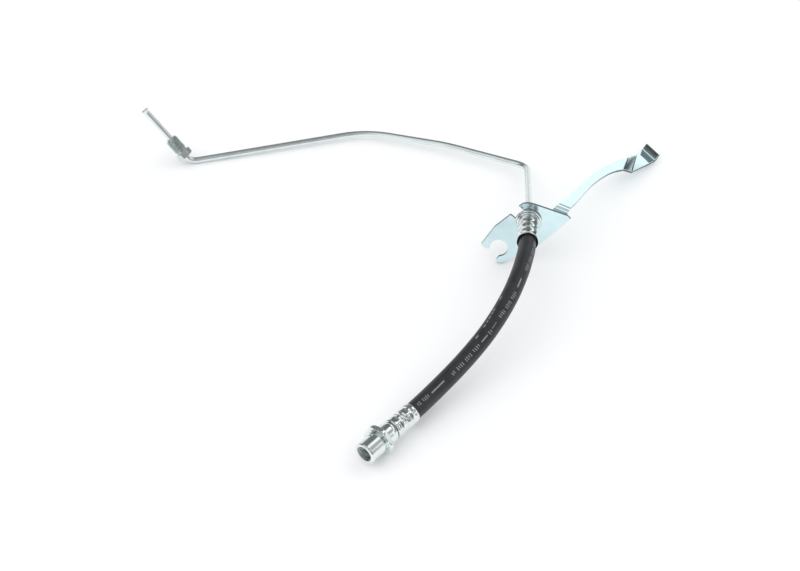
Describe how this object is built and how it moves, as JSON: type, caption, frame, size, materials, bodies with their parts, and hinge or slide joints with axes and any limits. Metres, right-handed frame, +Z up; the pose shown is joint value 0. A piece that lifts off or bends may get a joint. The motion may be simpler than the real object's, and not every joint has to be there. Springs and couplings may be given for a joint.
{
  "type": "brake hose",
  "caption": "Short rubber brake hose crimped between a threaded female end and a pressed bracket, with a bent steel pipe and a loose tube nut.",
  "frame": {"origin": "on the floor plane, under the middle of the steel work (bracket, upper end, pipe and nut), with the hose and what is on it left out", "axes": "+X from the pipe's flared end towards the bracket's arm, +Y from the hose towards the pipe, +Z up"},
  "size_m": [0.3956, 0.344, 0.0485],
  "materials": {
    "rubber": "satin black rubber with a fine cloth grain",
    "bright_zinc": "bright zinc plate over turned steel",
    "zinc_sheet": "pale blue zinc plate on pressed steel",
    "pipe_coat": "grey zinc coat on steel pipe",
    "nut_zinc": "zinc plate, satin"
  },
  "bodies": {
    "line": {"rubber_hose": "rubber", "upper_ferrule": "bright_zinc", "upper_end_fitting": "bright_zinc", "bracket_plate": "zinc_sheet", "bracket_arm": "zinc_sheet", "brake_pipe": "pipe_coat", "lower_ferrule": "bright_zinc", "lower_end_fitting": "bright_zinc"},
    "nut": {"tube_nut": "nut_zinc"}
  },
  "joints": [
    {"name": "nut_slide", "type": "slide", "parent": "line", "child": "nut", "axis": [-0.6383, 0.1615, 0.7527], "range_m": [0, 0.0262]}
  ]
}
